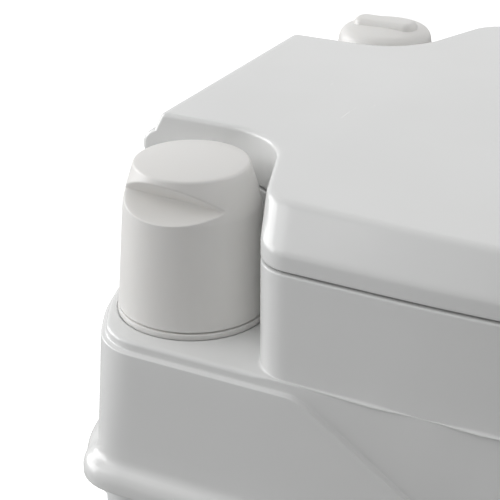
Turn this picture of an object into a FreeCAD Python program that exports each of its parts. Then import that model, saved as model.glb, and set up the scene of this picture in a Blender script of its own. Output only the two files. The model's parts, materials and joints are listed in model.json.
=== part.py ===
"""Free-standing cassette toilet: a flush-water section with pump, seat and lid, on a waste-holding tank.

Millimetres. X is across (the pump is on the left, -X), -Y is the front, +Z is up, and the floor is Z = 0.
"""
import FreeCAD, Part
import math
import os

V = FreeCAD.Vector
X, Y, Z = V(1, 0, 0), V(0, 1, 0), V(0, 0, 1)

# overall
width = 383.0
depth = 427.0
height = 414.0
wall = 3.0
run_fit = 0.05          # radial clearance of a pin or shaft that turns or slides
part_gap = 0.5          # clearance between pieces that only pass each other

# heights
tank_height = 234.0     # top of the holding tank, where the upper section rests
cap_stand = 4.0         # the filler cap's grip above the lid
ledge_drop = 87.0       # lid top down to the ledge that carries pump and filler
deck_drop = 30.0        # lid top down to the deck under the seat
chamfer_drop = 19.5     # lid top down to the foot of the lid's chamfer
lid_gap = 1.5           # dark line between lid and deck
foot_height = 4.0
lid_z = height - cap_stand
deck_z = lid_z - deck_drop
ledge_z = lid_z - ledge_drop
rim_z = deck_z + lid_gap

# plan of the upper section
flange_proud = 10.5     # bottom flange beyond the upper walls
flange_high = 13.0
skirt_proud = 4.5       # lower side panel beyond the upper walls
half_w = width / 2 - flange_proud
half_d = depth / 2 - flange_proud
rear_corner_in = 53.0
rear_corner_down = 26.0
front_corner_in = 61.0
front_corner_down = 30.0
lid_inset = 14.0        # chamfer's width at the sides
notch_rear_in = 8.0     # the wall between the notches stands in from the ledge's rear edge

# pump, on the left; the filler is its mirror image
pump_r = 40.0
pump_side_in = 53.5
pump_rear_in = 51.0
notch_clear = 2.5
notch_slant = math.radians(20)
pump_x = half_w - pump_side_in
pump_y = half_d - pump_rear_in
notch_r = pump_r + notch_clear
notch_x = pump_x - notch_r
collar_high = 3.0
shoulder_drop = 26.0    # lid top down to the knob's shoulder
shoulder_r = 36.0
knob_top_r = 30.2
groove_drop = 20.5      # lid top down to the bottom of the finger groove
groove_deep = 17.0      # knob axis to the bottom of the groove
groove_turn = 4.0
rod_drop = 30.0         # lid top down to the rod's upper end
barrel_r = 22.0
barrel_wall = 3.0
barrel_flange = 10.0    # flange beyond the barrel
guide_deep = 8.0        # the rod guide's plug inside the barrel
piston_high = 9.0
piston_spare = 6.0      # room left above the piston at the top of its stroke
rod_r = 8.0
port_high = 26.0        # base plate's underside up to the pump's outlet
tube_bore = 4.4
tube_bend = 9.0
pump_stroke = 48.0
filler_throat_r = 24.0
neck_drop = 14.0        # lid top down to the mouth of the filler neck
cap_r = 31.0
cap_ribs = 24

# hinge behind the lid
hinge_r = 9.0
pin_r = 3.0
lug_r = 8.6
lug_out = 17.0          # notch wall to the lug's outer face
lug_wide = 11.0
pin_in = 4.0            # notch wall to the pin's outer end
pin_tail = 12.0         # pin beyond the seat's knuckle
knuckle_gap = 0.5
hinge_y = half_d + 5.2 - hinge_r
hinge_z = lid_z - chamfer_drop

# seat and lid
seat_low = 5.5          # seat's underside above the deck
seat_thick = 13.5
seat_in = 14.0          # seat's edge in from the lid's rim
bowl_side_in = 69.0     # bowl opening's edge in from the side wall
bowl_front_in = 40.0
bowl_rear_gap = 16.0    # bowl opening to the front of the notches
bowl_rim = 9.0
seat_rim = 14.0         # seat reaches this far in over the bowl's edge

# waste valve
valve_y = -20.0
valve_r = 42.0
valve_deep = 14.0
blade_thick = 3.0
blade_margin = 10.0     # blade beyond the bore, all round
housing_margin = 16.0   # housing beyond the blade
handle_wide = 84.0

# holding tank
clip_y = 20.0           # clips that hold the two sections together
clip_drop = 24.0        # clip's pivot below the tank's top
peg_r = 2.5
tank_proud = 4.0        # tank's top edge beyond the upper walls
tank_draft = 7.0
tank_round = 12.0
spout_r = 21.0
spout_long = 112.0
spout_side_in = 62.0
spout_rear_in = 46.0
bay_drop = 84.0         # tank's top down to the floor of the spout's bay
grip_wide = 104.0
grip_drop = 54.0

bowl_a = half_w - bowl_side_in
notch_front_y = pump_y - notch_r * math.cos(notch_slant)
bowl_front_y = -half_d + bowl_front_in
bowl_rear_y = notch_front_y - bowl_rear_gap
bowl_y = (bowl_front_y + bowl_rear_y) / 2
bowl_b = (bowl_rear_y - bowl_front_y) / 2
base_z = tank_height + 6.0
base_thick = 3.0
valve_travel = 2 * (valve_r + blade_margin)
bay_low = tank_height - bay_drop


def rounded(corners):
    """A closed wire through (x, y, radius) corners, each rounded by a tangent arc."""
    edges, starts = [], []
    count = len(corners)
    for i in range(count):
        x, y, r = corners[i]
        here = V(x, y, 0)
        back = (V(*corners[i - 1][:2], 0) - here).normalize()
        ahead = (V(*corners[(i + 1) % count][:2], 0) - here).normalize()
        half = back.getAngle(ahead) / 2
        reach = r / math.tan(half)
        middle = (back + ahead).normalize()
        centre = here + middle * (r / math.sin(half))
        starts.append((here + back * reach, centre - middle * r, here + ahead * reach))
    for i in range(count):
        a, b, c = starts[i]
        edges.append(Part.Arc(a, b, c).toShape())
        edges.append(Part.LineSegment(c, starts[(i + 1) % count][0]).toShape())
    return Part.Wire(edges)


def both_sides(left):
    """The left half's corners from rear to front, then the right half's back again."""
    return left + [(-x, y, r) for x, y, r in reversed(left)]


def side_corners(reach, down):
    return [(-half_w + reach, 0, 900), (-half_w + 5 + reach, -half_d + front_corner_down + down, 60),
            (-half_w + front_corner_in + reach, -half_d + down, 110)]


def ledge_plan():
    rear = [(-half_w + rear_corner_in, half_d, 110), (-half_w + 2, half_d - rear_corner_down, 30)]
    return rounded(both_sides(rear + side_corners(0, 0)))


def notched_plan(inset, corner_r, rear_y, wall_x, wall_r):
    """Outline with both rear notches; inset moves the side and front edges in."""
    touch_x = -pump_x + wall_r * math.sin(notch_slant)
    touch_y = pump_y - wall_r * math.cos(notch_slant)
    slope = math.tan(notch_slant)
    side_x = -half_w + 2.5 + inset * 1.25
    rear = [(-wall_x, rear_y, 3), (-wall_x, touch_y + (touch_x + wall_x) * -slope, wall_r),
            (side_x, touch_y + (side_x - touch_x) * slope, corner_r)]
    return rounded(both_sides(rear + side_corners(inset, inset)))


def deck_plan():
    return notched_plan(0, 22, half_d - notch_rear_in, notch_x, notch_r)


def lid_top_plan():
    return notched_plan(lid_inset, 24, hinge_y - 3, notch_x - 1, notch_r + 1)


def raised(wire, z):
    moved = wire.copy()
    moved.translate(V(0, 0, z))
    return moved


def slab(wire, low, high, grow=0.0):
    outline = wire.makeOffset2D(grow) if grow else wire
    return Part.Face(raised(outline, low)).extrude(V(0, 0, high - low))


def ruled(low_wire, low, high_wire, high):
    return Part.makeLoft([raised(low_wire, low), raised(high_wire, high)], True, True)


def rod(r, x, y, low, high):
    return Part.makeCylinder(r, high - low, V(x, y, low), Z)


def ring(r_out, r_in, x, y, low, high):
    return rod(r_out, x, y, low, high).cut(rod(r_in, x, y, low - 1, high + 1))


def bar(r, start, end):
    way = end - start
    return Part.makeCylinder(r, way.Length, start, way)


def block(x0, x1, y0, y1, z0, z1):
    return Part.makeBox(x1 - x0, y1 - y0, z1 - z0, V(x0, y0, z0))


def oval(a, b, y, z):
    """An ellipse wire, a across and b front to back."""
    if b >= a:
        curve = Part.Ellipse(V(0, y + b, z), V(a, y, z), V(0, y, z))
    else:
        curve = Part.Ellipse(V(a, y, z), V(0, y + b, z), V(0, y, z))
    return Part.Wire([curve.toShape()])


def oval_slab(a, b, y, low, high):
    return Part.Face(oval(a, b, y, low)).extrude(V(0, 0, high - low))


def turned(profile, x, y):
    """Solid of revolution about the vertical through x, y from (radius, z) points."""
    points = [V(x + r, y, z) for r, z in profile]
    face = Part.Face(Part.makePolygon(points + [points[0]]))
    return face.revolve(V(x, y, 0), Z, 360)


def side_prism(points, x0, x1):
    """(y, z) points carried along X from x0 to x1."""
    path = [V(x0, y, z) for y, z in points]
    return Part.Face(Part.makePolygon(path + [path[0]])).extrude(V(x1 - x0, 0, 0))


def pipe(points, r, bend):
    """Round bar along straight runs joined by tangent arcs."""
    edges, last = [], points[0]
    for i in range(1, len(points) - 1):
        back = (points[i - 1] - points[i]).normalize()
        ahead = (points[i + 1] - points[i]).normalize()
        half = back.getAngle(ahead) / 2
        reach = bend / math.tan(half)
        middle = (back + ahead).normalize()
        start, end = points[i] + back * reach, points[i] + ahead * reach
        nose = points[i] + middle * (bend / math.sin(half) - bend)
        edges += [Part.LineSegment(last, start).toShape(), Part.Arc(start, nose, end).toShape()]
        last = end
    edges.append(Part.LineSegment(last, points[-1]).toShape())
    path = Part.Wire(edges)
    section = Part.Wire([Part.Circle(points[0], points[1] - points[0], r).toShape()])
    return path.makePipeShell([section], True, False)


def mirrored(shape):
    return shape.mirror(V(0, 0, 0), X)


def group(shapes):
    return Part.makeCompound(shapes)


def fillet_level(shape, radius, low, high, test=lambda centre: True):
    """Round the edges that lie between two heights and pass the test."""
    chosen = []
    for edge in shape.Edges:
        box = edge.BoundBox
        if box.ZMin > low - 0.01 and box.ZMax < high + 0.01 and test(edge.CenterOfMass):
            chosen.append(edge)
    return shape.makeFillet(radius, chosen)


# ---- upper section ----

def crease_limit(proud):
    """Everything below the crease that runs along each side, then dives to the flange."""
    crest = ledge_z - 6
    foot = tank_height + flange_high
    turn = pump_y - 82
    low_y = turn - 105
    points = [(half_d + 30, foot - 20), (half_d + 30, crest), (turn, crest), (turn - 16, crest - 7),
              (low_y, foot), (low_y, foot - 20)]
    return side_prism(points, -half_w - proud - 5, half_w + proud + 5)


def shell_outside():
    upper = slab(ledge_plan(), tank_height, ledge_z)
    upper = fillet_level(upper, 5, ledge_z, ledge_z)
    deck = slab(deck_plan(), tank_height + flange_high, deck_z)
    deck = fillet_level(deck, 1.2, deck_z, deck_z)
    skirt = slab(ledge_plan(), tank_height, ledge_z - 3, skirt_proud).common(crease_limit(skirt_proud))
    flange = slab(ledge_plan(), tank_height, tank_height + flange_high, flange_proud)
    flange = fillet_level(flange, 4, tank_height, tank_height + flange_high)
    return upper.fuse([deck, skirt, flange]).removeSplitter()


def shell_inside():
    low = slab(ledge_plan(), tank_height - 1, ledge_z - wall, -wall)
    return low.fuse(slab(deck_plan(), ledge_z - wall - 1, deck_z - wall, -wall))


def lug_spans():
    """Left-hand X spans of the body lug and the seat knuckle."""
    lug = (-notch_x + lug_out, -notch_x + lug_out + lug_wide)
    knuckle = (lug[1] + 2 * knuckle_gap, lug[1] + 2 * knuckle_gap + lug_wide)
    return lug, knuckle


def hinge_bar(r, x0, x1):
    return bar(r, V(x0, hinge_y, hinge_z), V(x1, hinge_y, hinge_z))


def hinge_lug():
    x0, x1 = lug_spans()[0]
    web = side_prism([(hinge_y - 14, deck_z - 8), (hinge_y - 5, deck_z - 8), (hinge_y - 4, deck_z + 1),
                      (hinge_y, hinge_z - 6), (hinge_y, hinge_z), (hinge_y - 12, hinge_z)], x0, x1)
    return hinge_bar(lug_r, x0, x1).fuse(web).cut(hinge_bar(pin_r, x0 - 1, x1 + 1))


def flush_tank_shell():
    shell = shell_outside().cut(shell_inside())
    lug = hinge_lug()
    shell = shell.fuse([lug, mirrored(lug)])
    shell = shell.cut(oval_slab(bowl_a + part_gap, bowl_b + part_gap, bowl_y, deck_z - 10, deck_z + 10))
    shell = shell.cut(rod(barrel_r + run_fit, -pump_x, pump_y, ledge_z - 10, ledge_z + 1))
    shell = shell.cut(rod(filler_throat_r, pump_x, pump_y, ledge_z - 10, ledge_z + 1))
    mouth = handle_wide / 2 + 4
    shell = shell.cut(block(-mouth, mouth, -depth, -half_d + 30, tank_height - 1, tank_height + 5))
    window = block(*gauge_span(0), -depth, -half_d + 30, *gauge_height(0))
    shell = shell.cut(window).cut(clip_recess())
    return shell.fuse(clip_pegs()).removeSplitter()


def gauge_span(grow):
    return 58 - grow, 70 + grow


def gauge_height(grow):
    return tank_height + 34 - grow, ledge_z + 18 + grow


def flush_level_window():
    front = -half_d
    lens = block(*gauge_span(-0.2), front - 0.6, front + wall + 2, *gauge_height(-0.2))
    return fillet_level(lens, 0.5, *gauge_height(0), lambda c: c.y < front)


def base_plate():
    plate = slab(ledge_plan(), base_z, base_z + base_thick, -wall - part_gap)
    return plate.cut(rod(valve_r + 7, 0, valve_y, base_z - 1, base_z + 9))


def screw_places(inset):
    side = half_w - inset
    return [(sx * side, y) for sx in (-1, 1) for y in (-half_d * 0.6, 0, half_d * 0.55)]


def base_screws():
    screws = []
    for x, y in screw_places(24):
        head = rod(4, x, y, base_z - 2.5, base_z)
        slot = block(x - 3, x + 3, y - 0.6, y + 0.6, base_z - 2.6, base_z - 1.4)
        screws.append(head.cut(slot))
    return group(screws)


def bowl_skin(inset, top):
    """The funnel's form, from its oval mouth to the round outlet."""
    levels = [(bowl_a, bowl_b, bowl_y, top), (bowl_a - 2, bowl_b - 2, bowl_y, deck_z - 12),
              (bowl_a - 13, bowl_b - 15, bowl_y + 2, deck_z - 50),
              (valve_r + 22, valve_r + 26, valve_y - 5, base_z + 42),
              (valve_r + wall - 4, valve_r + wall - 3.99, valve_y, base_z + 9)]
    return Part.makeLoft([oval(a - inset, b - inset, y, z) for a, b, y, z in levels], True, False)


def bowl():
    top = deck_z + 2
    rim = oval_slab(bowl_a + bowl_rim, bowl_b + bowl_rim, bowl_y, deck_z, top)
    rim = fillet_level(rim, 1.2, top, top)
    spigot = rod(valve_r + wall, 0, valve_y, tank_height + 4.3, base_z + 16)
    body = bowl_skin(0, top - 1).fuse([rim, spigot])
    bore = rod(valve_r, 0, valve_y, tank_height, base_z + 12)
    return body.cut(bowl_skin(wall, top + 1)).cut(bore).cut(bar(6.2, *nozzle_line()))


def nozzle_line():
    """Start and end of the flush nozzle through the bowl's rear wall."""
    z = deck_z - 22
    return V(0, bowl_rear_y - 16, z), V(0, bowl_rear_y + 10, z)


def flush_nozzle():
    start, end = nozzle_line()
    body = bar(6.1, start, end)
    collar = bar(10, V(0, bowl_rear_y + 4, end.z), V(0, bowl_rear_y + 7, end.z))
    lip = block(-16, 16, start.y - 3, start.y + 1, end.z - 4, end.z + 6)
    lip = lip.makeFillet(1.2, lip.Edges)
    bore = bar(4.5, start + V(0, 0.5, 0), end + V(0, 1, 0))
    slot = block(-14, 14, start.y - 1, start.y + 0.8, end.z - 2.5, end.z + 2.5)
    return body.fuse([collar, lip]).cut(bore.fuse(slot))


def flush_tube():
    start, end = nozzle_line()
    low = base_z + port_high
    rise_y = bowl_rear_y + 30
    route = [V(-pump_x + barrel_r - 1, pump_y, low), V(-pump_x / 3, pump_y, low),
             V(0, rise_y, low + 44), V(0, rise_y, end.z), V(0, bowl_rear_y + 10.2, end.z)]
    outer = pipe(route, tube_bore + 1.6, tube_bend)
    inner = pipe(route, tube_bore, tube_bend)
    trim = rod(barrel_r + 0.1, -pump_x, pump_y, low - 20, low + 20)
    return outer.cut(inner).cut(trim)


def pump_barrel():
    low, inner = base_z + base_thick + 2, barrel_r - barrel_wall
    tube = ring(barrel_r, inner, -pump_x, pump_y, low, ledge_z)
    flange = ring(barrel_r + barrel_flange, inner, -pump_x, pump_y, ledge_z, ledge_z + 2)
    floor = ring(barrel_r, 4, -pump_x, pump_y, low, low + barrel_wall)
    port_z = base_z + port_high
    port = bar(tube_bore, V(-pump_x, pump_y, port_z), V(-pump_x + barrel_r + 8, pump_y, port_z))
    return tube.fuse([flange, floor]).cut(port)


def pump_inlet_valve():
    top = base_z + base_thick + 2 + barrel_wall
    cap = turned([(0, top), (9, top), (8, top + 1), (3, top + 2), (0, top + 2.2)], -pump_x, pump_y)
    return cap.fuse(rod(1.6, -pump_x, pump_y, top - 4.5, top))


def pump_guide():
    flange = rod(barrel_r + barrel_flange / 2, -pump_x, pump_y, ledge_z + 2, ledge_z + 5)
    low = ledge_z - guide_deep
    plug = rod(barrel_r - barrel_wall - run_fit, -pump_x, pump_y, low, ledge_z + 2)
    return flange.fuse(plug).cut(rod(rod_r + run_fit, -pump_x, pump_y, low - 1, ledge_z + 6))


def pump_collar():
    collar = ring(pump_r + 0.3, barrel_r + barrel_flange + 2, -pump_x, pump_y, ledge_z, ledge_z + collar_high)
    return fillet_level(collar, 0.6, ledge_z + collar_high, ledge_z + collar_high)


def piston_z():
    return ledge_z - guide_deep - pump_stroke - piston_spare - piston_high


def pump_piston():
    low = piston_z()
    r = barrel_r - barrel_wall - 0.8
    groove = ring(r + 1, r - 2, -pump_x, pump_y, low + 3, low + 6)
    return rod(r, -pump_x, pump_y, low, low + piston_high).cut(groove)


def piston_seal():
    low, r = piston_z() + 3, barrel_r - barrel_wall
    return ring(r - run_fit, r - 2.8, -pump_x, pump_y, low, low + 3)


def pump_rod():
    return ring(rod_r, rod_r - 2.5, -pump_x, pump_y, piston_z() + piston_high, lid_z - rod_drop)


def knob_foot():
    return ledge_z + collar_high + 0.4


def knob_solid(inset):
    """The knob's outer form, or its hollow when inset by the wall."""
    shoulder, edge, top = lid_z - shoulder_drop, lid_z - 4.5 - inset, lid_z - 2.6 - inset
    profile = [(0, knob_foot() - inset), (pump_r - inset, knob_foot() - inset),
               (shoulder_r - inset, shoulder), (knob_top_r - inset, edge), (knob_top_r * 0.6, top - 0.4),
               (0, top)]
    return turned(profile, -pump_x, pump_y)


def groove_prism(grow):
    """The finger groove's wedge, across the knob's outer side; grown by the wall for its backing."""
    z, deep = lid_z - groove_drop, groove_deep - grow
    points = [(deep, z + 0.8 + grow), (deep + 15, z + 12.5 + grow), (pump_r + 9, z + 28 + grow),
              (pump_r + 9, z - 7 - grow), (deep + 19, z - 5 - grow), (deep, z - 0.8 - grow)]
    path = [V(-r, -pump_r, h) for r, h in points]
    prism = Part.Face(Part.makePolygon(path + [path[0]])).extrude(V(0, 2 * pump_r, 0))
    prism.translate(V(-pump_x, pump_y, 0))
    return prism.rotate(V(-pump_x, pump_y, 0), Z, -groove_turn)


def pump_knob():
    outer = knob_solid(0)
    boss = rod(rod_r + 4, -pump_x, pump_y, lid_z - 46, lid_z - 4)
    backing = groove_prism(wall).common(outer)
    knob = outer.cut(knob_solid(wall)).fuse([boss.common(outer), backing])
    knob = knob.cut(rod(rod_r + run_fit, -pump_x, pump_y, knob_foot() - 5, lid_z - rod_drop))
    return knob.cut(groove_prism(0)).removeSplitter()


def filler_neck():
    throat, top = filler_throat_r, lid_z - neck_drop
    profile = [(throat - 2.5, ledge_z - 6), (throat, top), (throat + 2.5, top), (throat + 2.5, lid_z - 30),
               (32, lid_z - 30), (38, ledge_z + 3), (40, ledge_z + 3), (40, ledge_z),
               (throat - run_fit, ledge_z), (throat - run_fit, ledge_z - 6)]
    return turned(profile, pump_x, pump_y).cut(rod(throat - 2.5, pump_x, pump_y, ledge_z - 7, top + 1))


def filler_cap_seal():
    top = lid_z - neck_drop
    return ring(filler_throat_r + 2.3, filler_throat_r - 2.5, pump_x, pump_y, top, top + 2)


def filler_cap():
    low, seat_z = lid_z - deck_drop + 0.5, lid_z - neck_drop + 2
    bore = filler_throat_r + 2.5 + part_gap
    profile = [(0, low), (cap_r, low), (cap_r - 0.8, seat_z), (cap_r - 2, lid_z - 4),
               (cap_r - 4.5, lid_z - 1), (cap_r - 10, lid_z), (0, lid_z)]
    body = turned(profile, pump_x, pump_y)
    grip = block(pump_x - 8, pump_x + 8, pump_y - 21, pump_y + 21, lid_z - 4, height)
    grip = grip.makeFillet(3.5, grip.Edges)
    hollow = rod(bore, pump_x, pump_y, low - 1, seat_z)
    ribs = []
    for i in range(cap_ribs):
        rib = rod(1.1, pump_x + cap_r - 0.6, pump_y, low + 1, seat_z - 1)
        ribs.append(rib.rotate(V(pump_x, pump_y, 0), Z, i * 360 / cap_ribs))
    return body.fuse([grip] + ribs).cut(hollow)


def hinge_pins():
    lug, knuckle = lug_spans()
    pin = hinge_bar(pin_r, -notch_x + pin_in, knuckle[1] + pin_tail)
    return group([pin, mirrored(pin)])


# ---- seat and lid ----

def gap_cuts(spans):
    """Slots across the hinge line for the lugs and knuckles of other pieces."""
    r, back, up = hinge_r + 1.5, 20, 9
    cuts = []
    for x0, x1 in spans:
        left, right = x0 - knuckle_gap, x1 + knuckle_gap
        low = block(left, right, hinge_y - back, hinge_y, rim_z - 12, hinge_z + up)
        cut = hinge_bar(r, left, right)
        cuts += [cut, low, mirrored(cut), mirrored(low)]
    return cuts


def seat():
    low, high = deck_z + seat_low, deck_z + seat_low + seat_thick
    plan = notched_plan(0, 22, half_d - notch_rear_in, notch_x, notch_r)
    plate = slab(plan, low, high, -seat_in).cut(block(-width, width, hinge_y - 14, depth, low - 1, high + 1))
    plate = fillet_level(plate, 4, high, high)
    hole = oval_slab(bowl_a - seat_rim, bowl_b - seat_rim, bowl_y, low - 1, high + 1)
    plate = plate.cut(hole)
    edge = [e for e in plate.Edges if e.BoundBox.ZMin > high - 0.01 and e.BoundBox.XLength > bowl_a
            and abs(e.CenterOfMass.y - bowl_y) < 1]
    plate = plate.makeFillet(4, edge)
    x0, x1 = lug_spans()[1]
    arm = block(x0, x1, hinge_y - 26, hinge_y, high - 8, high - 1)
    knuckle = hinge_bar(lug_r, x0, x1).fuse(arm).cut(hinge_bar(pin_r + run_fit, x0 - 1, x1 + 1))
    return plate.fuse([knuckle, mirrored(knuckle)]).removeSplitter()


def buffer_places():
    front, rear = bowl_front_y - 3, bowl_rear_y - 6
    side = half_w - 38
    return [(-side * 0.62, front + 18), (side * 0.62, front + 18), (-side, rear - 22), (side, rear - 22)]


def seat_buffers():
    top = deck_z + seat_low
    pads = [rod(6, x, y, deck_z, top) for x, y in buffer_places()]
    return group([fillet_level(p, 1, deck_z, deck_z) for p in pads])


def lid_buffers():
    low = deck_z + seat_low + seat_thick + 0.3
    return group([rod(5, x * 0.93, y * 0.93, low, lid_z - wall) for x, y in buffer_places()])


def lid():
    rim, top = deck_plan(), lid_top_plan()
    outer = ruled(rim, hinge_z, top, lid_z)
    outer = fillet_level(outer, 2.5, lid_z, lid_z)
    outer = outer.fuse(slab(rim, rim_z, hinge_z))
    inner = ruled(rim.makeOffset2D(-wall), hinge_z, top.makeOffset2D(-wall), lid_z - wall)
    inner = inner.fuse(slab(rim, rim_z - 1, hinge_z, -wall))
    inner = inner.cut(block(-width, width, hinge_y - 12, depth, rim_z - 2, lid_z))
    rear = side_prism([(hinge_y - 13, lid_z - 1), (hinge_y - 3.2, lid_z - 1), (hinge_y + 1, lid_z - 9.6),
                       (hinge_y, hinge_z), (hinge_y - 13, hinge_z)], -notch_x, notch_x)
    barrel = hinge_bar(hinge_r, -notch_x, notch_x)
    body = outer.cut(inner).fuse([rear, barrel])
    lug, knuckle = lug_spans()
    body = body.cut(group(gap_cuts([lug, knuckle])))
    bores = hinge_bar(pin_r + run_fit, -notch_x + pin_in - 1, knuckle[1] + pin_tail + 1)
    return body.cut(bores.fuse(mirrored(bores))).removeSplitter()


# ---- waste valve, on top of the holding tank ----

def valve_pocket(grow):
    """Recess in the tank's top for the valve, open to the front for its handle."""
    side = valve_r + blade_margin + housing_margin + 2 + grow
    rear = valve_y + side
    wide = block(-side, side, valve_y - side, rear, tank_height - valve_deep - grow, tank_height + 1)
    floor = tank_height - valve_deep - grow
    way = valve_r + blade_margin + 2 + grow
    run = block(-way, way, valve_y - way - valve_travel, valve_y, floor, tank_height + 1)
    mouth = handle_wide / 2 + 4 + grow
    return wide.fuse([run, block(-mouth, mouth, -depth, valve_y, floor, tank_height + 1)])


def blade_level():
    return tank_height - valve_deep + 5


def valve_housing():
    low, side = tank_height - valve_deep, valve_r + blade_margin + housing_margin
    frame = block(-side, side, valve_y - side, valve_y + side, low, low + 12)
    corners = [e for e in frame.Edges if e.BoundBox.ZLength > 11]
    frame = frame.makeFillet(10, corners)
    way = valve_r + blade_margin + 0.3
    z = blade_level()
    slot = block(-way, way, valve_y - depth, valve_y + way, z - 0.3, z + blade_thick + 0.3)
    skirt = ring(valve_r + 3, valve_r, 0, valve_y, low - 8, low)
    lip = ring(valve_r + 9, valve_r + 6, 0, valve_y, low + 12, tank_height + 1.5)
    bore = rod(valve_r, 0, valve_y, low - 1, low + 14)
    return frame.cut(slot).cut(bore).fuse([skirt, lip])


def valve_seal():
    low = tank_height - valve_deep + 12
    return ring(valve_r + 5.6, valve_r, 0, valve_y, low, tank_height + 4)


def valve_blade():
    way = valve_r + blade_margin
    plate = block(-way, way, valve_y - way, valve_y + way, blade_level(), blade_level() + blade_thick)
    corners = [e for e in plate.Edges if e.BoundBox.ZLength > 2 and e.CenterOfMass.y > valve_y]
    return plate.makeFillet(20, corners)


def handle_y():
    return -half_d - flange_proud + 1


def valve_rod():
    front, rear = handle_y() + 14, valve_y - valve_r - blade_margin
    z = blade_level()
    stem = block(-13, 13, front, rear, z, z + blade_thick)
    rib = block(-2, 2, front, rear - 17, z + blade_thick, z + blade_thick + 2)
    return stem.fuse(rib)


def valve_handle():
    z, front = blade_level() - 3, handle_y()
    half = handle_wide / 2
    body = block(-half, half, front, front + 14, z, z + 10)
    body = body.makeFillet(3.5, body.Edges)
    finger = block(-half + 10, half - 10, front + 5, front + 11, z - 1, z + 6)
    return body.cut(finger)


def valve_screws():
    side, top = valve_r + blade_margin + housing_margin / 2, tank_height - valve_deep + 12
    places = [(sx * side, valve_y + sy * side) for sx in (-1, 1) for sy in (-1, 1)]
    screws = []
    for x, y in places:
        head = fillet_level(rod(3.5, x, y, top, top + 1.8), 0.8, top + 1.8, top + 1.8)
        screws.append(head.cut(block(x - 2.5, x + 2.5, y - 0.5, y + 0.5, top + 1, top + 3)))
    return group(screws)


# ---- holding tank ----

def tank_block(grow):
    """Outer form of the tank; a negative grow gives its inside."""
    low_wire = ledge_plan().makeOffset2D(tank_proud - tank_draft + grow)
    high_wire = ledge_plan().makeOffset2D(tank_proud + grow)
    body = ruled(low_wire, foot_height - grow, high_wire, tank_height + grow)
    floor, roof = foot_height - grow, tank_height + grow
    body = fillet_level(body, tank_round + grow, floor, floor)
    return fillet_level(body, 5, roof, roof)


def spout_place():
    return half_w - spout_side_in, half_d - spout_rear_in


def spout_bay(grow):
    x, y = spout_place()
    left, right = x - spout_long - 34 - grow, x + 34 + grow
    return block(left, right, y - 36 - grow, depth, bay_low - grow, tank_height + 9)


def grip_place():
    """Left and right ends and the pivot height of the carrying handle, on the tank's rear."""
    right = spout_place()[0] - spout_long - 44
    left = right - grip_wide
    return left, right, tank_height - 26


def grip_recess(grow):
    left, right, z = grip_place()
    rear = half_d + tank_proud
    low, high = z - grip_drop - 14 - grow, z + 12 + grow
    return block(left - 6 - grow, right + 6 + grow, rear - 26 - grow, depth, low, high)


def vent_place():
    left, right, z = grip_place()
    return (left + right) / 2, z - grip_drop - 34


def holding_tank():
    outer, inner = tank_block(0), tank_block(-wall)
    inner = inner.cut(valve_pocket(wall)).cut(spout_bay(wall)).cut(grip_recess(wall))
    body = outer.cut(inner).cut(valve_pocket(0)).cut(spout_bay(0)).cut(grip_recess(0))
    body = body.cut(rod(valve_r + 3 + part_gap, 0, valve_y, tank_height - 30, tank_height + 5))
    x, y = spout_place()
    body = body.cut(rod(spout_r - 4, x, y, bay_low - 9, bay_low + 1))
    vx, vz = vent_place()
    body = body.cut(bar(7, V(vx, half_d - 30, vz), V(vx, depth, vz)))
    wx, wz = level_place()
    body = body.cut(bar(11, V(wx, -depth, wz), V(wx, -half_d + 30, wz)))
    left, right, z = grip_place()
    rear = half_d + tank_proud
    ears = [block(left - 6.5, left - 0.5, rear - 25, rear - 6, z - 8, z + 8),
            block(right + 0.5, right + 6.5, rear - 25, rear - 6, z - 8, z + 8)]
    body = body.fuse(ears).cut(bar(pin_r, V(left - 5, rear - 13, z), V(right + 5, rear - 13, z)))
    return body.cut(clip_pins()).removeSplitter()


def tank_feet():
    pads = []
    for sx in (-1, 1):
        for y in (-half_d + 62, half_d - 62):
            pad = rod(15, sx * (half_w - 62), y, 0, foot_height)
            pads.append(fillet_level(pad, 1, 0, 0))
    return group(pads)


def spout_base():
    x, y = spout_place()
    low = ring(spout_r + 5, spout_r - 5, x, y, bay_low, bay_low + 6)
    neck = ring(spout_r - 4 - run_fit, spout_r - 5, x, y, bay_low - 8, bay_low)
    post = ring(spout_r - 3 - run_fit, spout_r - 5, x, y, bay_low + 6, bay_low + 14)
    return low.fuse([neck, post])


def pour_spout():
    x, y = spout_place()
    low, mid = bay_low + 6.5, bay_low + 40
    upright = rod(spout_r, x, y, low, mid).fuse(Part.makeSphere(spout_r, V(x, y, mid)))
    arm = bar(spout_r, V(x, y, mid), V(x - spout_long + 16, y, mid))
    bead = bar(spout_r + 1.6, V(x - 40, y, mid), V(x - 44, y, mid))
    inside = rod(spout_r - 3, x, y, low - 1, mid).fuse(Part.makeSphere(spout_r - 3, V(x, y, mid)))
    inside = inside.fuse(bar(spout_r - 3, V(x, y, mid), V(x - spout_long, y, mid)))
    return upright.fuse([arm, bead]).cut(inside)


def spout_cap_seal():
    x, y = spout_place()
    mid, end = bay_low + 40, x - spout_long + 16
    tube = bar(spout_r, V(end, y, mid), V(end - 2, y, mid))
    return tube.cut(bar(spout_r - 3, V(end + 1, y, mid), V(end - 3, y, mid)))


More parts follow.
